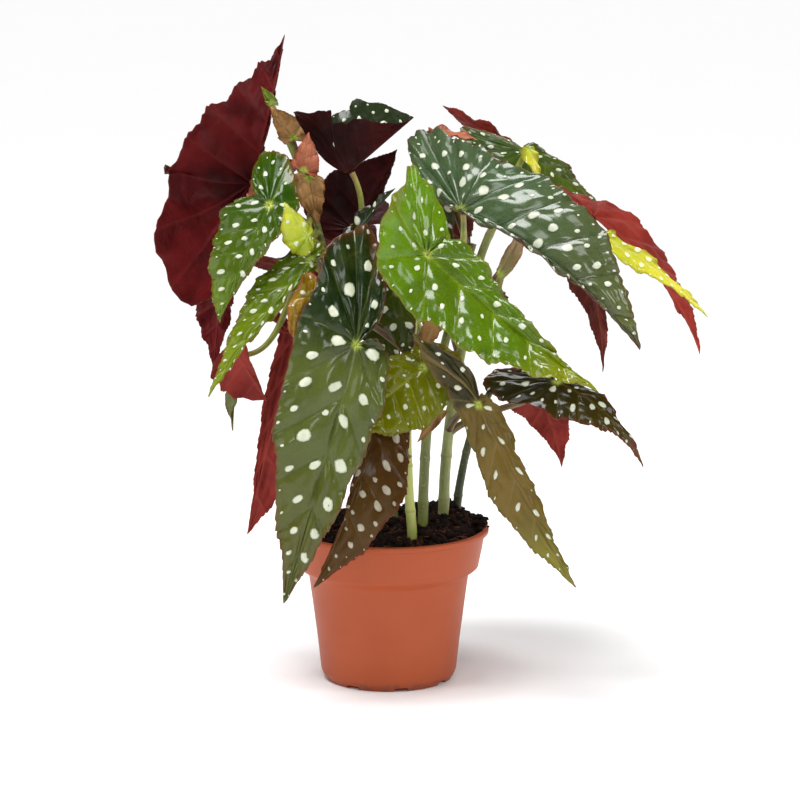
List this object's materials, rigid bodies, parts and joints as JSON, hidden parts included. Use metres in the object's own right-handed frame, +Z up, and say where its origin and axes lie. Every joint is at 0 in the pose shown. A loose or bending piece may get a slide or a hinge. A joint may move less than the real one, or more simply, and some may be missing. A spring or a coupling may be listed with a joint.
{
  "type": "potted polka dot begonia",
  "caption": "Cane begonia in a small plastic nursery pot, with large angel-wing leaves spotted silver above and burgundy below.",
  "frame": {"origin": "middle of the pot's underside", "axes": "+Z up along the pot's axis; the pictured front faces -Y and +X is to its right"},
  "size_m": [0.3194, 0.2587, 0.3832],
  "materials": {
    "pot": "moulded terracotta-coloured plastic",
    "soil": "moist peat compost",
    "stem": "smooth green cane, reddish at the nodes",
    "leaf_dark": "glossy dark green leaf with silver dots, burgundy under",
    "leaf_green": "glossy mid green leaf with silver dots, burgundy under",
    "leaf_lime": "glossy yellow-green leaf with silver dots",
    "leaf_bronze": "satin olive-bronze leaf with silver dots",
    "leaf_amber": "satin ageing yellow-bronze leaf",
    "leaf_young": "satin young coppery leaf",
    "bract": "dry papery bract"
  },
  "bodies": {
    "root": {"pot": "pot", "soil": "soil", "cane_front": "stem", "cane_middle": "stem", "cane_right": "stem", "cane_slant": "stem", "cane_left": "stem", "leaf_front_long": "leaf_dark", "leaf_front_under": "leaf_bronze", "leaf_front_lime": "leaf_lime", "leaf_centre_bright": "leaf_lime", "leaf_left_green": "leaf_green", "leaf_left_bronze": "leaf_amber", "leaf_left_upper": "leaf_green", "leaf_left_tall": "leaf_dark", "leaf_left_hanging": "leaf_dark", "leaf_left_inner": "leaf_dark", "leaf_left_low": "leaf_dark", "leaf_left_tail": "leaf_green", "leaf_left_red": "leaf_dark", "leaf_right_dark": "leaf_dark", "leaf_right_back": "leaf_dark", "leaf_right_lime": "leaf_lime", "leaf_right_red": "leaf_dark", "leaf_top_right": "leaf_dark", "leaf_top_bronze": "leaf_young", "leaf_top_funnel": "leaf_dark", "leaf_middle_back": "leaf_dark", "leaf_middle_rolled": "leaf_green", "leaf_middle_dark": "leaf_dark", "leaf_middle_right": "leaf_dark", "leaf_low_hanging": "leaf_bronze", "leaf_low_right": "leaf_dark", "leaf_low_maroon": "leaf_young", "leaf_right_narrow": "leaf_dark", "leaf_left_lime": "leaf_lime", "leaf_middle_low": "leaf_dark", "leaf_back_centre": "leaf_green", "leaf_back_left": "leaf_dark", "leaf_back_right": "leaf_dark", "leaf_back_far_left": "leaf_dark", "leaf_back_low": "leaf_green", "leaf_back_low_right": "leaf_dark", "leaf_young_pink": "leaf_young", "leaf_young_olive": "leaf_amber", "leaf_young_green": "leaf_lime", "leaf_young_red": "leaf_young", "leaf_bract_brown": "bract", "leaf_right_sliver": "leaf_lime", "leaf_bract_pale": "bract", "leaf_bract_dry": "bract", "leaf_bract_beige": "bract"}
  },
  "joints": []
}
